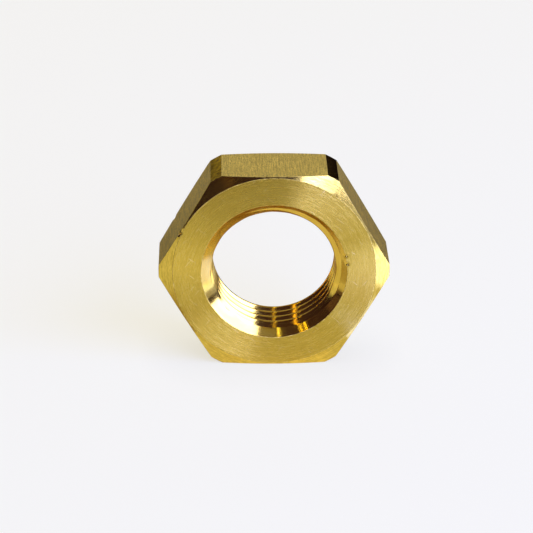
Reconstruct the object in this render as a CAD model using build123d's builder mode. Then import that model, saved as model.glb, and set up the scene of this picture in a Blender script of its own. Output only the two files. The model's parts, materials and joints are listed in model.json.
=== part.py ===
from build123d import *
import os
from math import radians, tan

# Brass lock nut for a 3/8 inch parallel pipe thread, turned in one piece from drawn hexagon bar.
# It stands on one flat of the hexagon. The thread axis is Y, the origin is on that axis at half thickness.

# Hexagon bar
across_flats = 25.0
thickness = 7.5

# Turning of the outside, the same on both faces
corner_diameter = 28.0
face_diameter = 24.6
chamfer_angle = 15.0

# Hole: the wall stands at the minor diameter, where the thread's crests are
bore_diameter = 14.95
countersink_diameter = 17.7
countersink_angle = 100.0

# Depths that follow from the sizes above
half_thickness = thickness / 2
chamfer_depth = (corner_diameter - face_diameter) / 2 * tan(radians(chamfer_angle))
countersink_depth = (countersink_diameter - bore_diameter) / 2 / tan(radians(countersink_angle / 2))

with BuildPart() as lock_nut:
    # Hexagon bar, with one pair of flats level and two corners pointing sideways
    with BuildSketch(Plane.XZ) as bar_section:
        RegularPolygon(across_flats / 2, side_count=6, major_radius=False)
    extrude(amount=half_thickness, both=True)

    # Turned section from the bore outwards: countersink, face ring, chamfer and topped corner
    with BuildSketch(Plane.XY) as turned_section:
        with BuildLine() as front_half:
            Polyline(
                (bore_diameter / 2, 0),
                (bore_diameter / 2, countersink_depth - half_thickness),
                (countersink_diameter / 2, -half_thickness),
                (face_diameter / 2, -half_thickness),
                (corner_diameter / 2, chamfer_depth - half_thickness),
                (corner_diameter / 2, 0),
                close=True,
            )
        make_face()
        mirror(about=Plane.XZ)
    revolve(axis=Axis.Y, mode=Mode.INTERSECT)

lock_nut.part.label = "lock_nut"
os.makedirs("parts", exist_ok=True)
export_step(lock_nut.part, "parts/lock_nut.step")
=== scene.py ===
# %% [markdown]
# # A brass pipe lock nut
# The nut is one piece: a slice of drawn hexagon bar, faced and chamfered on a lathe, drilled, countersunk
# and tapped. So the lesson makes one mesh, gives each way of working the brass its own finish, and lights
# it like a small product picture. The CAD model comes first, as a fixed frame: it holds the sizes, and
# nothing here moves it.

import json
import math

import bpy
from mathutils import Matrix, Vector


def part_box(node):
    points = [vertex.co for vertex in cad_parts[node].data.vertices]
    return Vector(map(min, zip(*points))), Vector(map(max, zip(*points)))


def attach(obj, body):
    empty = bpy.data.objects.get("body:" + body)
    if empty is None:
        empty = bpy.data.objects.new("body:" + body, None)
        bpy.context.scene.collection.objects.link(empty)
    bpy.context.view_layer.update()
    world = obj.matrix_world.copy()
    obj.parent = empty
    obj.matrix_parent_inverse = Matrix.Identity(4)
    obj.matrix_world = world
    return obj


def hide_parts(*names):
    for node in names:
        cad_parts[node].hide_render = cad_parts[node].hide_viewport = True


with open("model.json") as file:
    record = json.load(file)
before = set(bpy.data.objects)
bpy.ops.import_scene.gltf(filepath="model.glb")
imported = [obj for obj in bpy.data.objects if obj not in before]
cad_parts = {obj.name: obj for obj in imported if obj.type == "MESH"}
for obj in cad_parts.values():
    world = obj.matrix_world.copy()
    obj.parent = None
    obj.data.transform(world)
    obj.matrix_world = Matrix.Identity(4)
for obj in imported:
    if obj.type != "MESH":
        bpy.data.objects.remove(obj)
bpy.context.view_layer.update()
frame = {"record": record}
MM = 0.001
nut_low, nut_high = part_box("lock_nut")
print("CAD box in mm:", [round(side / MM, 3) for side in nut_high - nut_low])

# %% [markdown]
# ## Sizes
# A machinist would read these from the drawing. Most are in the frame: the nut's box gives the hexagon
# and the thickness, and the record's threaded hole gives the bore. Writing them again here could drift
# away from the CAD model, so only the sizes that the frame doesn't hold, such as the form of the thread,
# are written as numbers.

# %% Read and name the sizes
flat_radius = nut_high.z
corner_radius = nut_high.x
half_thickness = nut_high.y
thread_bore = next(mount for mount in frame["record"]["mounts"] if mount["name"] == "thread_bore")
crest_radius = thread_bore["dims"]["r_mm"] * MM
sink_depth = half_thickness - thread_bore["dims"]["length_mm"] * MM / 2

face_radius = 12.3 * MM
chamfer_slope = math.tan(math.radians(15))
sink_slope = math.tan(math.radians(50))
mouth_radius = crest_radius + sink_depth * sink_slope
pitch = 1.337 * MM
flank_angle = math.radians(27.5)
print("mouth of the countersink in mm:", round(mouth_radius / MM, 3))

# %% [markdown]
# ## The camera
# The picture looks down on the nut through a long lens from about eleven times its width away. Such a
# camera could be nudged by hand until the outline fits. It is surer to write its three angles and its
# distance, work out its axes, and put them into the camera's matrix, because then each number means one
# thing.

# %% Place the camera
view_yaw = math.radians(1.44)
view_pitch = math.radians(25.29)
view_roll = math.radians(0.32)
view_distance = 279.1 * MM
view_aside = 0.94 * MM
view_above = -0.70 * MM
lens_mm = 155.98
sensor_mm = 36.0


def place_by_axes(thing, place, right, up, back):
    """Puts an object at a place with these three unit vectors as its own X, Y and Z."""
    turn = Matrix((right, up, back)).transposed().to_4x4()
    thing.matrix_world = Matrix.Translation(place) @ turn


forward = Vector((
    math.sin(view_yaw) * math.cos(view_pitch),
    math.cos(view_yaw) * math.cos(view_pitch),
    -math.sin(view_pitch),
))
level_right = Vector((math.cos(view_yaw), -math.sin(view_yaw), 0))
level_up = level_right.cross(forward)
camera_right = math.cos(view_roll) * level_right + math.sin(view_roll) * level_up
camera_up = math.cos(view_roll) * level_up - math.sin(view_roll) * level_right
front_centre = Vector((0, -half_thickness, 0))
camera_place = front_centre - view_aside * camera_right - view_above * camera_up - view_distance * forward

camera_data = bpy.data.cameras.new("camera")
camera_data.lens = lens_mm
camera_data.sensor_width = sensor_mm
camera_data.clip_start = 0.01
camera = bpy.data.objects.new("camera", camera_data)
bpy.context.scene.collection.objects.link(camera)
place_by_axes(camera, camera_place, camera_right, camera_up, -forward)
bpy.context.scene.camera = camera
print("camera at", [round(value / MM, 1) for value in camera_place], "mm")

# %% [markdown]
# ## Fields
# Both the nut's shape and its finishes follow rules, and in Blender a rule is a chain of Math nodes.
# Adding the nodes one by one hides the formula among the wiring. A small class keeps it readable: a Field
# is one output socket, and Python's own plus, minus, times and divide on a Field add the Math node and
# return its output.

# %% A field and its arithmetic
class Field:
    """A number, or a vector, that varies over a surface: one output socket of a node tree."""

    def __init__(self, tree, socket):
        self.tree = tree
        self.socket = socket

    def __getitem__(self, output):
        """Another output of the same node."""
        return Field(self.tree, self.socket.node.outputs[output])

    def __add__(self, other):
        return calculate(self.tree, "ADD", self, other)

    def __sub__(self, other):
        return calculate(self.tree, "SUBTRACT", self, other)

    def __rsub__(self, other):
        return calculate(self.tree, "SUBTRACT", other, self)

    def __mul__(self, other):
        return calculate(self.tree, "MULTIPLY", self, other)

    def __truediv__(self, other):
        return calculate(self.tree, "DIVIDE", self, other)

    def __rtruediv__(self, other):
        return calculate(self.tree, "DIVIDE", other, self)

    def to(self, operation, *others):
        """Any other operation of the Math node, such as SINE or MAXIMUM."""
        return calculate(self.tree, operation, self, *others)


def plug(tree, value, socket):
    """Links a field to a socket, or writes a plain value on it."""
    if isinstance(value, Field):
        tree.links.new(value.socket, socket)
    else:
        socket.default_value = value


def calculate(tree, operation, *values):
    """Adds one Math node and returns its result."""
    node = tree.nodes.new("ShaderNodeMath")
    node.operation = operation
    for value, socket in zip(values, node.inputs):
        plug(tree, value, socket)
    return Field(tree, node.outputs[0])


def add(tree, kind, inputs=None, output=0, **settings):
    """Adds a node with these settings and inputs, and returns one of its outputs."""
    node = tree.nodes.new(kind)
    for name, value in settings.items():
        setattr(node, name, value)
    for name, value in (inputs or {}).items():
        plug(tree, value, node.inputs[name])
    return Field(tree, node.outputs[output])


def remap(value, low, high, new_low, new_high):
    """A clamped Map Range: low becomes new_low, high becomes new_high, and nothing goes beyond."""
    names = ("Value", "From Min", "From Max", "To Min", "To Max")
    return add(value.tree, "ShaderNodeMapRange", dict(zip(names, (value, low, high, new_low, new_high))))


def combine(tree, x, y, z):
    """A vector of three numbers or fields."""
    return add(tree, "ShaderNodeCombineXYZ", {"X": x, "Y": y, "Z": z})


def object_place(tree):
    """The object's own coordinates: the field is X, and its ["Y"] and ["Z"] are the other two."""
    place = add(tree, "ShaderNodeTexCoord", output="Object")
    return add(tree, "ShaderNodeSeparateXYZ", {0: place})


def new_group(name, kind, inputs, outputs):
    """A node group with named inputs and outputs, and its two end nodes."""
    tree = bpy.data.node_groups.new(name, kind)
    for label, socket_type, value in inputs:
        socket = tree.interface.new_socket(label, in_out="INPUT", socket_type=socket_type)
        if value is not None:
            socket.default_value = value
    for label, socket_type in outputs:
        tree.interface.new_socket(label, in_out="OUTPUT", socket_type=socket_type)
    start = tree.nodes.new("NodeGroupInput")
    end = tree.nodes.new("NodeGroupOutput")
    return tree, Field(tree, start.outputs[0]), end


def noise_at(tree, point, detail, roughness):
    """A noise whose grains are about one unit of the point's own measure."""
    values = {"Vector": point, "Scale": 1.0, "Detail": detail, "Roughness": roughness}
    return add(tree, "ShaderNodeTexNoise", values)


print("fields ready")

# %% [markdown]
# ## Turned rings
# A lathe tool leaves a very fine spiral on the face, the chamfers and the countersinks. From a step away
# the eye sees long faint arcs, and between them a short grain where the tool tore the metal. A ring
# texture of Blender's own would be too regular. Here a noise is stretched instead: it changes fast with
# the radius and more slowly round the axis. The direction round the axis goes in as a point on a circle,
# so there is no seam.

# %% The turned rings group
def build_turned_rings():
    """Marks round the Y axis: long arcs of the tool, and a short grain between them."""
    tree, start, end = new_group(
        "turned rings",
        "ShaderNodeTree",
        [
            ("Spacing", "NodeSocketFloat", 0.2 * MM),
            ("Long arcs", "NodeSocketFloat", 3.0),
            ("Short arcs", "NodeSocketFloat", 20.0),
        ],
        [("Grain", "NodeSocketFloat"), ("Rings", "NodeSocketFloat")],
    )
    x = object_place(tree)
    radius = (x * x + x["Z"] * x["Z"]).to("SQRT")
    rows = (radius + x["Y"]) / start["Spacing"]
    for label, arcs in (("Grain", start["Short arcs"]), ("Rings", start["Long arcs"])):
        point = combine(tree, x / radius * arcs, rows, x["Z"] / radius * arcs)
        tree.links.new(noise_at(tree, point, 2.0, 0.6).socket, end.inputs[label])
    return tree


turned_rings = build_turned_rings()
print("group:", turned_rings.name)

# %% [markdown]
# ## Clouds and specks
# Handled brass is never one colour: it has broad clouds of darker tarnish, and small dark pits. Both come
# from noise in the object's own coordinates, so they stay on the metal from every side. All finishes use
# them, so they are a group with the sizes as inputs.

# %% The tarnish group
def build_tarnish():
    """Broad clouds, and sparse specks that can be drawn out along the bar."""
    tree, start, end = new_group(
        "tarnish",
        "ShaderNodeTree",
        [
            ("Cloud size", "NodeSocketFloat", 4.0 * MM),
            ("Speck size", "NodeSocketFloat", 0.25 * MM),
            ("Speck length", "NodeSocketFloat", 1.0),
            ("Speck share", "NodeSocketFloat", 0.3),
        ],
        [("Clouds", "NodeSocketFloat"), ("Specks", "NodeSocketFloat")],
    )
    x = object_place(tree)
    cloud = start["Cloud size"]
    clouds = noise_at(tree, combine(tree, x / cloud, x["Y"] / cloud, x["Z"] / cloud), 4.0, 0.6)
    tree.links.new(remap(clouds, 0.35, 0.65, 0.0, 1.0).socket, end.inputs["Clouds"])

    size = start["Speck size"]
    point = combine(tree, x / size, x["Y"] / (size * start["Speck length"]), x["Z"] / size)
    limit = 0.75 - start["Speck share"] * 0.3
    specks = remap(noise_at(tree, point, 2.0, 0.55), limit, limit + 0.07, 0.0, 1.0)
    tree.links.new(specks.socket, end.inputs["Specks"])
    return tree


tarnish = build_tarnish()
print("group:", tarnish.name)

# %% [markdown]
# ## Helpers for the finishes
# Each finish is a metal with its own colour, roughness and grain. A lathe or a drawing die leaves
# parallel scratches, and light spreads across scratches more than along them, so the shader's Anisotropic
# value is set and its Tangent points across the scratches. That is what makes a turned face shimmer in
# sectors.

# %% Helpers for a finish
def group_node(tree, group, **inputs):
    """Places a group in a material and returns its first output as a field."""
    node = tree.nodes.new("ShaderNodeGroup")
    node.node_tree = group
    for name, value in inputs.items():
        plug(tree, value, node.inputs[name.replace("_", " ").capitalize()])
    return Field(tree, node.outputs[0])


def blend_colours(tree, share, first, second):
    """Mixes two colours by a share from 0 to 1."""
    node = tree.nodes.new("ShaderNodeMix")
    node.data_type = "RGBA"
    plug(tree, share, node.inputs[0])
    for value, socket in ((first, node.inputs[6]), (second, node.inputs[7])):
        plug(tree, value if isinstance(value, Field) else (*value, 1.0), socket)
    return Field(tree, node.outputs[2])


def new_metal(name, anisotropic):
    """A metal with nothing but its shader, ready for a colour, a roughness and a bump."""
    material = bpy.data.materials.new(name)
    material.use_nodes = True
    shader = material.node_tree.nodes["Principled BSDF"]
    shader.inputs["Metallic"].default_value = 1.0
    shader.inputs["Anisotropic"].default_value = anisotropic
    return material, material.node_tree, shader


def radial_direction(tree):
    """Straight out from the axis: across the rings of a turned face."""
    x = object_place(tree)
    return combine(tree, x, 0.0, x["Z"])


def finish_metal(tree, shader, colour, roughness, height, depth, tangent=None):
    """Feeds the shader: colour, roughness, a height from 0 to 1 with its depth in metres, and a tangent."""
    plug(tree, colour, shader.inputs["Base Color"])
    plug(tree, roughness, shader.inputs["Roughness"])
    relief = {"Strength": 1.0, "Distance": depth, "Height": height}
    plug(tree, add(tree, "ShaderNodeBump", relief), shader.inputs["Normal"])
    if tangent is not None:
        plug(tree, tangent, shader.inputs["Tangent"])


print("finish helpers ready")

# %% [markdown]
# ## The turned face
# The face rings are satin: faint arcs of the tool, a short grain, a few pits, and hairline scratches from
# lying among other nuts. A scratch could be modelled, but it is finer than any mesh. Noise that is
# squeezed one way and drawn out the other gives such lines where only its highest peaks are kept, once
# for each of two directions.

# %% The turned face
def hairlines(tree, slant, width, length, limit):
    """Sparse straight scratches on the face, at this slant from level."""
    x = object_place(tree)
    along = x * math.cos(slant) + x["Z"] * math.sin(slant)
    across = x["Z"] * math.cos(slant) - x * math.sin(slant)
    peaks = noise_at(tree, combine(tree, along / length, across / width, slant), 0.0, 0.5)
    return remap(peaks, limit, limit + 0.05, 0.0, 1.0)


def make_turned_face():
    material, tree, shader = new_metal("turned face brass", anisotropic=0.95)
    grain = group_node(tree, turned_rings, spacing=0.16 * MM, long_arcs=2.0, short_arcs=13.0)
    spots = group_node(tree, tarnish, cloud_size=4.0 * MM, speck_size=0.24 * MM, speck_share=0.16)
    texture = grain * 0.5 + grain["Rings"] * 0.5
    tone = remap(texture, 0.38, 0.62, 0.0, 1.0)
    colour = blend_colours(tree, tone, (0.62, 0.443, 0.066), (0.785, 0.586, 0.120))
    colour = blend_colours(tree, spots["Clouds"] * 0.35, colour, (0.64, 0.44, 0.06))
    colour = blend_colours(tree, spots["Specks"] * 0.5, colour, (0.34, 0.23, 0.06))
    lines = hairlines(tree, 0.9, 0.13 * MM, 2.2 * MM, 0.79).to(
        "MAXIMUM", hairlines(tree, -0.7, 0.13 * MM, 1.6 * MM, 0.79)
    )
    colour = blend_colours(tree, lines * 0.6, colour, (0.95, 0.80, 0.40))
    roughness = remap(texture, 0.3, 0.7, 0.24, 0.29)
    finish_metal(tree, shader, colour, roughness, texture, 0.011 * MM, radial_direction(tree))
    return material


turned_face = make_turned_face()
print("finish:", turned_face.name)

# %% [markdown]
# ## The chamfers
# They were cut last, with a sharp tool held still, and are smoother than the face, so they mirror the
# room: bright where it is bright and almost black where it is dark. The rings stay, but the grain is
# fainter.

# %% The chamfers
def make_bright_chamfer():
    material, tree, shader = new_metal("bright chamfer brass", anisotropic=0.80)
    grain = group_node(tree, turned_rings, spacing=0.18 * MM, long_arcs=5.0, short_arcs=24.0)
    spots = group_node(tree, tarnish, cloud_size=2.0 * MM, speck_size=0.24 * MM, speck_share=0.10)
    texture = grain * 0.5 + grain["Rings"] * 0.5
    tone = remap(texture, 0.36, 0.64, 0.0, 1.0)
    colour = blend_colours(tree, tone, (0.57, 0.39, 0.048), (0.98, 0.75, 0.145))
    colour = blend_colours(tree, spots["Clouds"] * 0.4, colour, (0.76, 0.52, 0.085))
    colour = blend_colours(tree, spots["Specks"] * 0.6, colour, (0.38, 0.24, 0.06))
    roughness = remap(texture, 0.3, 0.7, 0.13, 0.20)
    finish_metal(tree, shader, colour, roughness, texture, 0.001 * MM, radial_direction(tree))
    return material


bright_chamfer = make_bright_chamfer()
print("finish:", bright_chamfer.name)

# %% [markdown]
# ## The countersinks and the thread
# These are the brightest cuts, and nothing has rubbed them since. Their tool marks run round the axis, so
# light spreads along it, and the Tangent is simply the Y axis. The countersink was cut with one broad
# edge that chattered, so its rings are coarser than those of the tap. One function makes both finishes
# from a few different values.

# %% The countersinks and the thread
def make_bore_metal(name, anisotropic, smooth, rough, spacing, depth):
    material, tree, shader = new_metal(name, anisotropic)
    grain = group_node(tree, turned_rings, spacing=spacing, long_arcs=2.0, short_arcs=30.0)
    spots = group_node(tree, tarnish, cloud_size=2.0 * MM, speck_size=0.20 * MM, speck_share=0.2)
    tone = remap(grain["Rings"], 0.36, 0.64, 0.0, 1.0)
    colour = blend_colours(tree, tone, (0.78, 0.52, 0.07), (0.89, 0.64, 0.115))
    colour = blend_colours(tree, spots["Clouds"] * 0.4, colour, (0.78, 0.52, 0.07))
    colour = blend_colours(tree, spots["Specks"] * 0.5, colour, (0.40, 0.25, 0.06))
    roughness = remap(grain["Rings"], 0.3, 0.7, smooth, rough)
    along_axis = combine(tree, 0.0, 1.0, 0.0)
    height = grain["Rings"] * 0.6 + grain * 0.4
    finish_metal(tree, shader, colour, roughness, height, depth, along_axis)
    return material


tapped_thread = make_bore_metal("tapped thread brass", 0.6, 0.09, 0.16, 0.12 * MM, 0.001 * MM)
countersink = make_bore_metal("countersink brass", 0.85, 0.13, 0.20, 0.20 * MM, 0.006 * MM)
print("finishes:", tapped_thread.name, "and", countersink.name)

# %% [markdown]
# ## The topped corners
# They are the rounded corners of the bar, rubbed smooth in the die, and act almost as mirrors. One of
# them, at the upper left, is dulled by a brown stain. A stain could be a texture of its own, but a
# distance from its middle, broken up by the clouds, is enough to say where it lies.

# %% The topped corners
stain_middle = (-7.0 * MM, -0.5 * MM, 12.1 * MM)
stain_reach = 4.5 * MM


def make_smooth_corner():
    material, tree, shader = new_metal("smooth corner brass", anisotropic=0.0)
    shader.inputs["Specular Tint"].default_value = (1.0, 0.85, 0.5, 1.0)
    spots = group_node(
        tree, tarnish, cloud_size=0.7 * MM, speck_size=0.3 * MM, speck_length=3.0, speck_share=0.5
    )
    place = add(tree, "ShaderNodeTexCoord", output="Object")
    away = add(
        tree, "ShaderNodeVectorMath", {0: place, 1: stain_middle}, output="Value", operation="DISTANCE"
    )
    stain = remap(away, stain_reach * 0.8, stain_reach, 1.0, 0.0)
    colour = blend_colours(tree, spots["Clouds"] * 0.6, (0.60, 0.42, 0.12), (0.45, 0.29, 0.08))
    worn = blend_colours(tree, spots["Clouds"], (0.60, 0.38, 0.03), (0.13, 0.07, 0.015))
    colour = blend_colours(tree, stain, colour, worn)
    colour = blend_colours(tree, spots["Specks"] * 0.7, colour, (0.22, 0.12, 0.04))
    roughness = remap(spots["Clouds"], 0.0, 1.0, 0.07, 0.12) + stain * 0.22
    finish_metal(tree, shader, colour, roughness, 1.0 - spots["Specks"], 0.002 * MM)
    return material


smooth_corner = make_smooth_corner()
print("finish:", smooth_corner.name)

# %% [markdown]
# ## The drawn flats
# The flats are the skin of the drawn bar: dull, slightly grey, with fine lines along the bar, short grit
# between them and small dark pits. Each flat could get a UV map for its lines. But they run along Y on
# all six flats, so a noise stretched along Y serves them all: a long one for the lines and a short one
# for the grit.

# %% The drawn flats
def make_drawn_flat():
    material, tree, shader = new_metal("drawn flat brass", anisotropic=0.85)
    shader.inputs["Specular Tint"].default_value = (1.0, 0.90, 0.68, 1.0)
    x = object_place(tree)
    width = 0.12 * MM
    length = 2.5 * MM
    grit_length = 0.35 * MM
    lines = noise_at(tree, combine(tree, x / width, x["Y"] / length, x["Z"] / width), 3.0, 0.65)
    grit = noise_at(tree, combine(tree, x / width, x["Y"] / grit_length, x["Z"] / width), 2.0, 0.6)
    skin = lines * 0.55 + grit * 0.45
    spots = group_node(
        tree, tarnish, cloud_size=2.4 * MM, speck_size=0.18 * MM, speck_length=2.0, speck_share=0.30
    )
    tone = remap(skin, 0.40, 0.60, 0.0, 1.0)
    colour = blend_colours(tree, tone, (0.29, 0.21, 0.04), (0.88, 0.66, 0.14))
    colour = blend_colours(tree, spots["Clouds"] * 0.45, colour, (0.46, 0.33, 0.06))
    colour = blend_colours(tree, spots["Specks"] * 0.6, colour, (0.16, 0.10, 0.05))
    sideways = combine(tree, x["Z"] * -1.0, 0.0, x)
    roughness = remap(skin, 0.3, 0.7, 0.36, 0.50)
    finish_metal(tree, shader, colour, roughness, skin - spots["Specks"] * 0.6, 0.008 * MM, sideways)
    return material


drawn_flat = make_drawn_flat()
print("finish:", drawn_flat.name)

# %% [markdown]
# ## The broken edges
# Where two cuts meet, a real edge is broken by the tool and by knocks. It is rubbed bright in places and
# torn in others, so this narrow strip gets a finish of its own, rough and uneven, that glitters along its
# length.

# %% The broken edges
def make_broken_edge():
    material, tree, shader = new_metal("broken edge brass", anisotropic=0.0)
    spots = group_node(tree, tarnish, cloud_size=0.4 * MM, speck_size=0.35 * MM, speck_share=0.4)
    colour = blend_colours(tree, spots["Clouds"], (0.48, 0.33, 0.045), (0.90, 0.68, 0.15))
    colour = blend_colours(tree, spots["Specks"] * 0.6, colour, (0.30, 0.19, 0.05))
    roughness = remap(spots["Clouds"], 0.0, 1.0, 0.22, 0.5)
    finish_metal(tree, shader, colour, roughness, spots["Clouds"], 0.045 * MM)
    return material


broken_edge = make_broken_edge()
print("finish:", broken_edge.name)

# %% [markdown]
# ## Patches bent round the axis
# Every surface of the nut is a rule in two numbers: the angle round the axis, and how far along the
# section. So each one can start as a flat grid, and Set Position can bend it into place. Six sectors of
# the hexagon share one pattern of columns: a few for the narrow topped corner and many for the flat, so
# that an edge always falls on a column.

# %% Angle of a column, and a bent grid
SECTORS = 6
CORNER_COLUMNS = 8
FLAT_COLUMNS = 60
SECTOR_COLUMNS = CORNER_COLUMNS + FLAT_COLUMNS
sector_angle = 2 * math.pi / SECTORS
corner_half_angle = sector_angle / 2 - math.acos(flat_radius / corner_radius)


def column_angle(share):
    """The angle round the axis at this share of the columns, from the start of the first corner."""
    sectors = share * SECTORS
    sector = sectors.to("FLOOR")
    part = (sectors - sector) * SECTOR_COLUMNS
    corner = remap(part, 0.0, CORNER_COLUMNS, -corner_half_angle, corner_half_angle)
    flat = remap(part, CORNER_COLUMNS, SECTOR_COLUMNS, 0.0, sector_angle - 2 * corner_half_angle)
    return sector * sector_angle + corner + flat


def bent_grid(tree, rows, finish, rule):
    """A grid with this many rows along the section, bent by rule(angle, share) to a radius and a depth.

    The finish is a number, or a rule for one in the share of the columns.
    """
    sizes = {"Vertices X": SECTORS * SECTOR_COLUMNS + 1, "Vertices Y": rows + 1}
    grid = add(tree, "GeometryNodeMeshGrid", sizes)
    share = add(tree, "ShaderNodeSeparateXYZ", {0: grid["UV Map"]})
    angle = column_angle(share)
    radius, depth = rule(angle, share["Y"])
    place = combine(tree, radius * angle.to("COSINE"), depth, radius * angle.to("SINE"))
    bent = add(tree, "GeometryNodeSetPosition", {"Geometry": grid, "Position": place})
    value = finish(share) if callable(finish) else finish
    named = {"Geometry": bent, "Name": "finish", "Value": value}
    return add(tree, "GeometryNodeStoreNamedAttribute", named, data_type="INT", domain="FACE")


print("topped corner in degrees:", round(2 * math.degrees(corner_half_angle), 2))

# %% [markdown]
# ## The outside
# Seen along the axis, the outline is a hexagon whose corners are topped by a circle: the radius is the
# smaller of the two. The chamfer rises from the face ring to that outline, and where the cone meets the
# flats its edge curves by itself. Rows crowd together near the edges, where small nicks will need them.

# %% Rules for the outside
FACE, CHAMFER, SINK, THREAD, CORNER, FLAT = range(6)
FACE_ROWS = 14
CHAMFER_ROWS = 5
SIDE_ROWS = 16


def crowd(share):
    """The same share from 0 to 1, but with small steps near both ends."""
    return share * share * (3.0 - share * 2.0)


def outline_radius(angle):
    """The hexagon with topped corners: corners lie at 0, 60, 120 degrees and so on."""
    from_corner = angle.to("MODULO", sector_angle).to("ADD", sector_angle).to("MODULO", sector_angle)
    from_middle = from_corner - sector_angle / 2
    return (flat_radius / from_middle.to("COSINE")).to("MINIMUM", corner_radius)


def chamfer_height(radius):
    """How far the chamfer lies behind the plane of the face at this radius."""
    return (radius - face_radius) * chamfer_slope


def face_rule(side):
    """The flat ring, from the chamfer in to the countersink on the front, and outwards on the back."""
    first, last = (face_radius, mouth_radius) if side < 0 else (mouth_radius, face_radius)

    def rule(angle, share):
        return crowd(share) * (last - first) + first, share * 0.0 + side * half_thickness

    return rule


def chamfer_rule(side):
    """The cone between the face ring and the outline."""
    def rule(angle, share):
        outward = share if side > 0 else 1.0 - share
        radius = (outline_radius(angle) - face_radius) * outward + face_radius
        return radius, (half_thickness - chamfer_height(radius)) * side

    return rule


def side_finish(share):
    """Smooth on the few columns of a topped corner, and drawn on the flat beside it."""
    part = (share * SECTORS).to("FRACT") * SECTOR_COLUMNS
    return part.to("LESS_THAN", CORNER_COLUMNS) * (CORNER - FLAT) + FLAT


def side_rule(angle, share):
    """The flats and the topped corners, from the back chamfer to the front one."""
    radius = outline_radius(angle)
    reach = half_thickness - chamfer_height(radius)
    return radius, reach * (1.0 - crowd(share) * 2.0)


print("rules for the outside ready")

# %% [markdown]
# ## The thread
# The tap cuts a right-hand groove into the drilled wall, 19 turns to the inch, with flanks 55 degrees
# apart and round crests and roots. A screw modifier would sweep it too, but could not run it out into the
# countersinks. Here the rows of the grid climb with the helix, so a row always lies on the same part of
# the groove, and the radius is the larger of thread and countersink.

# %% Rules for the bore
ROWS_PER_PITCH = 24
LIP_ROWS = 4
lip_depth = 0.40 * MM
crest_start = -half_thickness - 0.90 * pitch
THREAD_ROWS = ROWS_PER_PITCH * math.ceil((half_thickness - crest_start) / pitch + 1.2)

round_radius = 0.137329
round_reach = round_radius * math.cos(flank_angle)
round_height = round_radius * (1 - math.sin(flank_angle))


def rounding(share):
    """How far a round crest falls away at this distance from its middle, both in pitches."""
    reach = share.to("MINIMUM", round_reach)
    return round_radius - (round_radius ** 2 - reach * reach).to("SQRT")


def groove_depth(from_crest):
    """The depth of the groove below the crest, in pitches: round crest, straight flank, round root."""
    flank = from_crest.to("MAXIMUM", round_reach).to("MINIMUM", 0.5 - round_reach) - round_reach
    return rounding(from_crest) + flank / math.tan(flank_angle) + round_height - rounding(0.5 - from_crest)


def sink_radius(depth):
    """The two countersinks: the larger radius of the front cone and the back cone at this depth."""
    from_mouth = half_thickness - depth.to("ABSOLUTE")
    return mouth_radius - from_mouth * sink_slope


def lip_rule(side):
    """The plain outer part of a countersink, before the thread begins."""
    first, last = (-half_thickness, lip_depth - half_thickness)
    if side > 0:
        first, last = (half_thickness - lip_depth, half_thickness)

    def rule(angle, share):
        depth = share * (last - first) + first
        return sink_radius(depth), depth

    return rule


def bore_cuts(angle, share):
    """The thread's radius, the countersinks' radius and the depth, on rows that climb with the helix."""
    turns = share * (THREAD_ROWS / ROWS_PER_PITCH)
    row_depth = turns * pitch - angle * (pitch / (2 * math.pi)) + crest_start
    limit = half_thickness - lip_depth
    depth = row_depth.to("MINIMUM", limit).to("MAXIMUM", -limit)
    from_crest = ((turns + 0.5).to("FRACT") - 0.5).to("ABSOLUTE")
    thread = groove_depth(from_crest) * pitch + crest_radius
    return thread, sink_radius(depth), depth


def thread_rule(angle, share):
    """The wider of the two cuts."""
    thread, sink, depth = bore_cuts(angle, share)
    return thread.to("MAXIMUM", sink), depth


def thread_finish(share):
    """The finish of the cut that is wider here."""
    thread, sink, depth = bore_cuts(column_angle(share), share["Y"])
    return thread.to("LESS_THAN", sink) * (SINK - THREAD) + THREAD


print("rows in the thread:", THREAD_ROWS)

# %% [markdown]
# ## The whole nut
# The patches are made in order from the front face through the bore to the back and round the outside, so
# that all their normals point out of the metal. Merge by Distance closes the seams. Sharp edges inside
# the bore are shaded as such, and edges outside it, which a deburring tool would break, are marked for
# the bevel that follows.

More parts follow.
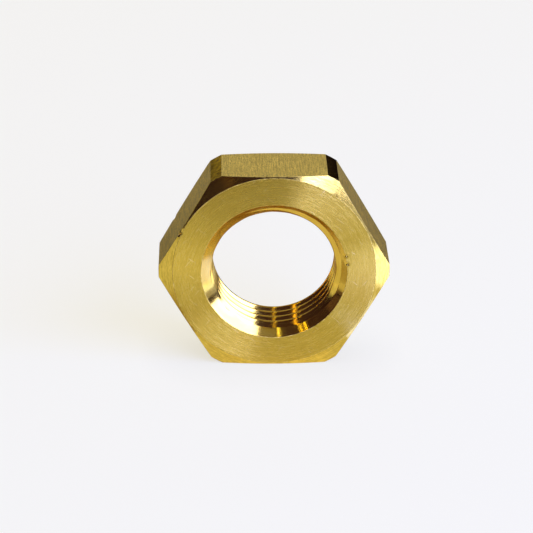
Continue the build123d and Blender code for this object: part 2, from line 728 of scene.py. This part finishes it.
# %% Build the tree
def build_nut_tree():
    labels = ("Face", "Chamfer", "Sink", "Thread", "Corner", "Flat")
    inputs = [(label, "NodeSocketMaterial", None) for label in labels]
    tree, start, end = new_group(
        "lock nut",
        "GeometryNodeTree",
        [("Weld distance", "NodeSocketFloat", 0.002 * MM), *inputs],
        [("Nut", "NodeSocketGeometry")],
    )
    patches = [
        bent_grid(tree, FACE_ROWS, FACE, face_rule(-1)),
        bent_grid(tree, LIP_ROWS, SINK, lip_rule(-1)),
        bent_grid(tree, THREAD_ROWS, thread_finish, thread_rule),
        bent_grid(tree, LIP_ROWS, SINK, lip_rule(1)),
        bent_grid(tree, FACE_ROWS, FACE, face_rule(1)),
        bent_grid(tree, CHAMFER_ROWS, CHAMFER, chamfer_rule(1)),
        bent_grid(tree, SIDE_ROWS, side_finish, side_rule),
        bent_grid(tree, CHAMFER_ROWS, CHAMFER, chamfer_rule(-1)),
    ]
    join = tree.nodes.new("GeometryNodeJoinGeometry")
    for patch in patches:
        tree.links.new(patch.socket, join.inputs[0])
    shape = Field(tree, join.outputs[0])
    shape = add(tree, "GeometryNodeMergeByDistance", {"Geometry": shape, "Distance": start["Weld distance"]})
    angle = add(tree, "GeometryNodeInputMeshEdgeAngle")
    x = add(tree, "ShaderNodeSeparateXYZ", {0: add(tree, "GeometryNodeInputPosition")})
    radius = (x * x + x["Z"] * x["Z"]).to("SQRT")
    outside = radius.to("GREATER_THAN", mouth_radius - 0.1 * MM)
    torn = angle.to("GREATER_THAN", math.radians(35)) * (1.0 - outside)
    shape = add(tree, "GeometryNodeSetShadeSmooth", {"Geometry": shape})
    sharp = {"Geometry": shape, "Selection": torn, "Shade Smooth": False}
    shape = add(tree, "GeometryNodeSetShadeSmooth", sharp, domain="EDGE")
    weight = angle.to("GREATER_THAN", math.radians(8)) * outside
    marked = {"Geometry": shape, "Name": "bevel_weight_edge", "Value": weight}
    shape = add(tree, "GeometryNodeStoreNamedAttribute", marked, data_type="FLOAT", domain="EDGE")
    shape = add(tree, "GeometryNodeRealizeInstances", {"Geometry": shape})
    finish = add(tree, "GeometryNodeInputNamedAttribute", {"Name": "finish"}, data_type="INT")
    shape = add(tree, "GeometryNodeSetMaterial", {"Geometry": shape, "Material": start["Face"]})
    names = {CHAMFER: "Chamfer", SINK: "Sink", THREAD: "Thread", CORNER: "Corner", FLAT: "Flat"}
    for number, name in names.items():
        chosen = finish.to("COMPARE", float(number), 0.1)
        parts = {"Geometry": shape, "Selection": chosen, "Material": start[name]}
        shape = add(tree, "GeometryNodeSetMaterial", parts)
    tree.links.new(shape.socket, end.inputs[0])
    return tree


nut_tree = build_nut_tree()
print("nodes in the nut's tree:", len(nut_tree.nodes))

# %% Turn the tree into a mesh
def plain_mesh(carrier, name):
    """The mesh that an object shows after its modifiers."""
    evaluated = carrier.evaluated_get(bpy.context.evaluated_depsgraph_get())
    mesh = bpy.data.meshes.new_from_object(evaluated)
    mesh.name = name
    if mesh.materials[0] is None:
        mesh.materials.pop(index=0)
    return mesh


def set_inputs(modifier, values):
    """Writes a modifier's inputs by the identifier of each named socket."""
    for item in modifier.node_group.interface.items_tree:
        if item.in_out == "INPUT" and item.name in values:
            modifier[item.identifier] = values[item.name]


nut = bpy.data.objects.new("lock_nut_turned", bpy.data.meshes.new("carrier"))
bpy.context.scene.collection.objects.link(nut)
nodes_modifier = nut.modifiers.new("nut", "NODES")
nodes_modifier.node_group = nut_tree
finishes = {
    "Face": turned_face,
    "Chamfer": bright_chamfer,
    "Sink": countersink,
    "Thread": tapped_thread,
    "Corner": smooth_corner,
    "Flat": drawn_flat,
}
set_inputs(nodes_modifier, finishes)
nut_mesh = plain_mesh(nut, "lock_nut_turned")
nut.modifiers.clear()
nut.data = nut_mesh
print("faces:", len(nut_mesh.polygons), "materials:", [m.name for m in nut_mesh.materials])

# %% [markdown]
# ## Nicks
# The nut has been knocked: a few small dents lie on its edges. A dent could be sculpted by hand. Here
# each one is a point on an edge, given by its angle round the axis, its radius and its depth, and the
# vertices near it are pushed into the metal by an amount that fades out smoothly.

# %% Press the nicks
def edge_point(degrees, radius, depth):
    """A point on the nut, from its angle round the axis, its radius and its place along the axis."""
    angle = math.radians(degrees)
    return Vector((radius * math.cos(angle), depth, radius * math.sin(angle)))


def press_nick(mesh, place, push, reach):
    """Moves the vertices near a place by the push, less and less towards the reach."""
    moved = 0
    for vertex in mesh.vertices:
        share = (vertex.co - place).length / reach
        if share < 2.0:
            vertex.co += push * math.exp(-2.0 * share * share)
            moved += 1
    return moved


front = -half_thickness
inward = Vector((0, 1, 0))
nicks = [
    ("mouth_upper", edge_point(14.2, mouth_radius, front), 1, 0.26 * MM, 0.20 * MM),
    ("mouth_lower", edge_point(6.9, mouth_radius, front), 1, 0.30 * MM, 0.20 * MM),
    ("face_edge", edge_point(53.5, face_radius, front), -1, 0.08 * MM, 0.16 * MM),
    ("flat_front", edge_point(154.8, 12.52 * MM, front + 0.05 * MM), -1, 0.24 * MM, 0.30 * MM),
    ("flat_rear", edge_point(161.5, 12.75 * MM, half_thickness - 0.12 * MM), -1, 0.22 * MM, 0.30 * MM),
]
for name, place, outward, depth, reach in nicks:
    radial = Vector((place.x, 0, place.z)).normalized() * outward
    into_metal = (radial + inward * -math.copysign(1.0, place.y)).normalized()
    count = press_nick(nut_mesh, place, into_metal * depth, reach)
    print("nick", name, "moved", count, "vertices")

# %% [markdown]
# ## Broken edges
# No real edge is perfectly sharp, and the thin bright line along a broken edge is what makes metal look
# solid. The Bevel modifier cuts the marked edges, gives the new strip the edge finish, and hardened
# normals keep the faces beside it looking flat.

# %% Break the edges
edge_width = 0.06 * MM
nut_mesh.materials.append(broken_edge)
bevel = nut.modifiers.new("broken edges", "BEVEL")
bevel.limit_method = "WEIGHT"
bevel.width = edge_width
bevel.segments = 2
bevel.material = len(nut_mesh.materials) - 1
bevel.harden_normals = True
bevelled = plain_mesh(nut, "lock_nut_turned")
nut.modifiers.clear()
nut.data = bevelled
triangles = sum(len(face.vertices) - 2 for face in bevelled.polygons)
print("triangles:", triangles)

# %% [markdown]
# ## The floor
# The nut stands on one flat on a smooth white sheet. The sheet is lit by the same lamps as the nut and
# keeps its shadow, but a white sheet photographed bright shows its shadow only faintly and a little warm.
# So for the camera most of it is a plain glow, and only a share of the real shading is added, the largest
# share in blue. Close to the nut the glow is darkened by an ambient occlusion factor: a painted contact
# shadow that no lamp casts. The near sheet ends where its mirror image in the brass ends, and a far sheet,
# which the brass doesn't mirror, fills the rest of the picture.

# %% Lay the floor
sheet_colour = (0.83, 0.79, 0.36)
sheet_glow = (0.838, 0.795, 0.690)
shadow_share = (0.12, 0.19, 0.45)
mirrored_glow = 0.10
painted_shadow_reach = 8.0 * MM


def make_floor_white():
    material = bpy.data.materials.new("white sheet")
    material.use_nodes = True
    tree = material.node_tree
    shader = tree.nodes["Principled BSDF"]
    shader.inputs["Roughness"].default_value = 0.35
    shader.inputs["Specular IOR Level"].default_value = 0.0
    rays = add(tree, "ShaderNodeLightPath", output="Is Camera Ray")
    mirrored = rays["Is Glossy Ray"].to("MAXIMUM", rays["Is Transmission Ray"])
    seen_colour = tuple(part * share for part, share in zip(sheet_colour, shadow_share))
    plug(tree, blend_colours(tree, rays, sheet_colour, seen_colour), shader.inputs["Base Color"])
    shader.inputs["Emission Color"].default_value = (*sheet_glow, 1.0)
    # Painted contact shadow: the glow darkens where ambient occlusion finds the nut close by.
    open_share = add(tree, "ShaderNodeAmbientOcclusion", {"Distance": painted_shadow_reach}, output="AO")
    painted_contact_shadow = remap(open_share, 0.4, 1.0, 0.90, 1.0)
    plug(tree, rays * painted_contact_shadow + mirrored * mirrored_glow, shader.inputs["Emission Strength"])
    return material


def lay_sheet(name, corners, level, material):
    """A flat sheet with its place in its mesh."""
    mesh = bpy.data.meshes.new(name)
    mesh.from_pydata([(x, y, level) for x, y in corners], [], [tuple(range(len(corners)))])
    mesh.materials.append(material)
    sheet = bpy.data.objects.new(name, mesh)
    bpy.context.scene.collection.objects.link(sheet)
    return sheet


floor_level = nut_low.z
floor_white = make_floor_white()
near_corners = [
    (-0.20, 0.25), (-0.20, 0.0), (-0.07, 0.0), (-0.07, -0.075),
    (0.042, -0.075), (0.042, 0.03), (0.40, 0.03), (0.40, 0.25)
]
far_corners = [(-3.0, -3.0), (3.0, -3.0), (3.0, 3.0), (-3.0, 3.0)]
floor = lay_sheet("floor", near_corners, floor_level, floor_white)
far_floor = lay_sheet("far_floor", far_corners, floor_level - 0.2 * MM, floor_white)
far_floor.visible_glossy = False
print("floor at", round(floor_level / MM, 2), "mm")

# %% [markdown]
# ## Papers on the table
# Polished brass mirrors the table all round it, and the brass shows darker and browner parts of it: beyond
# the right end of the near sheet and in front of it, at the front left, and where the floor lies in the
# nut's shadow, behind it and at its front left. A lamp can only add light. So each such part is a sheet of
# paper
# that only mirror rays can see: it is hidden from the camera, casts no shadow and doesn't tint the floor.
# Two of them are painted shade, standing in the brass's mirror for the floor in the nut's shadow.

# %% Lay the papers
def make_paper(name, colour):
    material = bpy.data.materials.new(name)
    material.use_nodes = True
    shader = material.node_tree.nodes["Principled BSDF"]
    shader.inputs["Base Color"].default_value = (*colour, 1.0)
    shader.inputs["Roughness"].default_value = 0.8
    return material


def lay_paper(name, left, right, front, back, level, colour):
    """A sheet of paper that only the brass sees."""
    corners = [(left, front), (right, front), (right, back), (left, back)]
    paper = lay_sheet(name, corners, level, make_paper(name, colour))
    paper.visible_camera = False
    paper.visible_diffuse = False
    paper.visible_shadow = False


below_floor = floor_level - 0.1 * MM
above_floor = floor_level + 0.05 * MM
lay_paper("grey_paper", 0.042, 0.40, -0.20, 0.03, below_floor, (0.30, 0.30, 0.30))
lay_paper("pale_paper", 0.06, 0.20, -0.42, -0.20, below_floor, (0.80, 0.75, 0.35))
lay_paper("dark_paper", -0.20, -0.07, -0.075, 0.0, below_floor, (0.17, 0.10, 0.07))
# Painted shade: a dim paper that the brass mirrors in place of the floor in the nut's shadow behind it.
lay_paper("shade_paper", -0.07, 0.07, 0.03, 0.07, above_floor, (0.28, 0.26, 0.17))
# Painted shadow: a brown paper that the brass mirrors in place of the floor in the nut's shadow at its front
# left, warm from light off the brass.
lay_paper("painted_shadow_paper", -0.036, -0.0115, -0.017, -0.005, above_floor, (0.56, 0.45, 0.13))

# %% [markdown]
# ## The lights
# One large soft box stands on the table at the right and front right. Its straight left edge shows in the
# polished bore as a sharp boundary. Its light is cool, because brass swallows blue: only a light with
# blue to spare leaves a highlight that is nearly white. Dim cards above and behind light the floor and
# the top flat. A lamp's power could be set by eye, but here it is worked out from its brightness and its
# area, so that its size can be changed alone.

# %% Set the lights
WHITE = (1.0, 1.0, 1.0)
COOL = (0.93, 1.0, 2.35)
WARM = (1.0, 0.92, 0.78)
PALE = (0.97, 0.98, 1.12)
lamp_distance = 0.50


def soft_box(name, corner, along, up, width, height, brightness, colour):
    """A rectangular lamp with its lower left corner here, seen from the nut, facing the nut."""
    along = Vector(along).normalized()
    up = (Vector(up) - Vector(up).dot(along) * along).normalized()
    data = bpy.data.lights.new(name, "AREA")
    data.shape = "RECTANGLE"
    data.size = width
    data.size_y = height
    data.energy = brightness * math.pi * width * height
    data.color = colour
    lamp = bpy.data.objects.new(name, data)
    lamp.visible_camera = False
    bpy.context.scene.collection.objects.link(lamp)
    place_by_axes(lamp, Vector(corner) + along * width / 2 + up * height / 2, along, up, along.cross(up))


def lamp_between(name, first, last, width, brightness, colour, aside=0.0):
    """A lamp that runs between two directions from the nut."""
    start = Vector(first).normalized() * lamp_distance
    length = Vector(last).normalized() * lamp_distance - start
    sideways = length.cross(start).normalized()
    corner = start + sideways * (aside - width / 2)
    soft_box(name, corner, sideways, length, width, length.length, brightness, colour)


key_corner = (0.163 * lamp_distance, -0.985 * lamp_distance, 0.059 * lamp_distance)
key_width = 1.25 * lamp_distance
key_height = 1.65 * lamp_distance
soft_box("key", key_corner, (0.6, 0.8, 0.0), (0.301, -0.226, 1.0), key_width, key_height, 5.2, COOL)
soft_box("overhead_card", (-0.3, -0.15, 0.6), (1.0, 0.0, 0.0), (0.0, 1.0, 0.0), 0.6, 0.45, 0.5, WARM)
soft_box("rear_card", (0.45, 0.55, 0.17), (-1.0, 0.0, 0.0), (0.0, -0.35, 1.0), 0.9, 0.30, 1.0, PALE)
print("key in metres:", round(key_width, 3), "by", round(key_height, 3))

# %% [markdown]
# ## Cards and strips
# A photographer lays small cards beside polished metal to fill the places that mirror nothing. Some lie
# on the floor, for a chamfer, the countersink and the right side of the face, and others stand in front
# and at the left. The golden lines in the thread are the mirror images of thin warm strips in front. Each
# strip is a lamp between two directions, because in a mirror only the direction counts.

# %% Set the cards and strips
card_level = floor_level + 0.3 * MM


def floor_card(name, left, right, front, back, brightness, colour):
    """A lamp that lies on the floor and shines up."""
    corner = (left, front, card_level)
    depth = back - front
    width = right - left
    soft_box(name, corner, (0.0, 1.0, 0.0), (1.0, 0.0, 0.0), depth, width, brightness, colour)


floor_card("tip_card", 0.023, 0.062, -0.046, -0.014, 1.15, (1.0, 1.25, 3.2))
floor_card("cone_card", 0.0105, 0.034, -0.013, -0.0039, 0.52, (0.85, 1.2, 6.0))
floor_card("left_card", -0.026, -0.004, -0.038, -0.027, 0.22, WARM)
lamp_between("brown_card", (-0.205, -0.978, 0.045), (-0.203, -0.976, 0.085), 0.020, 0.25, (1.0, 0.5, 0.08))
floor_card("right_card", 0.0095, 0.024, -0.036, -0.0205, 0.30, (1.0, 1.06, 4.0))
lamp_between("front_card", (0.174, -0.698, 0.695), (0.121, -0.485, 0.866), 0.155, 0.27, WHITE)
lamp_between("side_card", (-0.94, -0.33, 0.01), (-0.86, -0.43, 0.27), 0.20, 0.07, (1.0, 0.62, 0.75))

above_middle = (-0.052, -0.695, 0.717)
left_middle = (-0.43, -0.69, 0.585)
left_end = (-0.52, -0.50, 0.69)
lamp_between("strip_above_low", (-0.03, -0.90, 0.42), above_middle, 0.012, 1.0, (1.0, 0.70, 0.12))
lamp_between("strip_above_high", above_middle, (-0.07, -0.54, 0.84), 0.012, 6.0, (1.0, 0.92, 0.34))
lamp_between("strip_left_low", (-0.30, -0.90, 0.36), left_middle, 0.012, 3.2, (1.0, 0.60, 0.06))
for number, aside in enumerate((-0.022, 0.022)):
    name = f"strip_left_high_{number}"
    lamp_between(name, left_middle, left_end, 0.006, 8.0, (1.0, 0.76, 0.08), aside)

# %% [markdown]
# ## The world
# The camera sees plain white beyond the sheet. Everything else sees a dim room, darkest behind and dimmer
# near the table than above it, which gives the brass its dark brown parts. A picture of a room could do
# this too. Here the direction that a ray looks in, the world's Generated coordinate, is enough: its Y
# tells front from back, and its Z tells low from high.

# %% Fill the world
ROOM_LOW = (0.030, 0.015, 0.036)
ROOM_HIGH = (0.050, 0.027, 0.052)
ROOM_BEHIND = (0.012, 0.008, 0.014)


def fill_world():
    world = bpy.data.worlds.new("studio")
    world.use_nodes = True
    tree = world.node_tree
    background = tree.nodes["Background"]
    rays = add(tree, "ShaderNodeLightPath", output="Is Camera Ray")
    direction = add(tree, "ShaderNodeTexCoord", output="Generated")
    x = add(tree, "ShaderNodeSeparateXYZ", {0: direction})
    room_front = blend_colours(tree, remap(x["Z"], 0.0, 0.4, 0.0, 1.0), ROOM_LOW, ROOM_HIGH)
    room = blend_colours(tree, remap(x["Y"], -0.2, 0.3, 0.0, 1.0), room_front, ROOM_BEHIND)
    plug(tree, blend_colours(tree, rays, room, sheet_glow), background.inputs["Color"])
    bpy.context.scene.world = world


fill_world()
bpy.context.scene.view_settings.view_transform = "Standard"
print("world:", bpy.context.scene.world.name)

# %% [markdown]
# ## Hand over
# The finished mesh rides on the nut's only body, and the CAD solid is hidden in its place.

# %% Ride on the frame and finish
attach(nut, "root")
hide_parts("lock_nut")
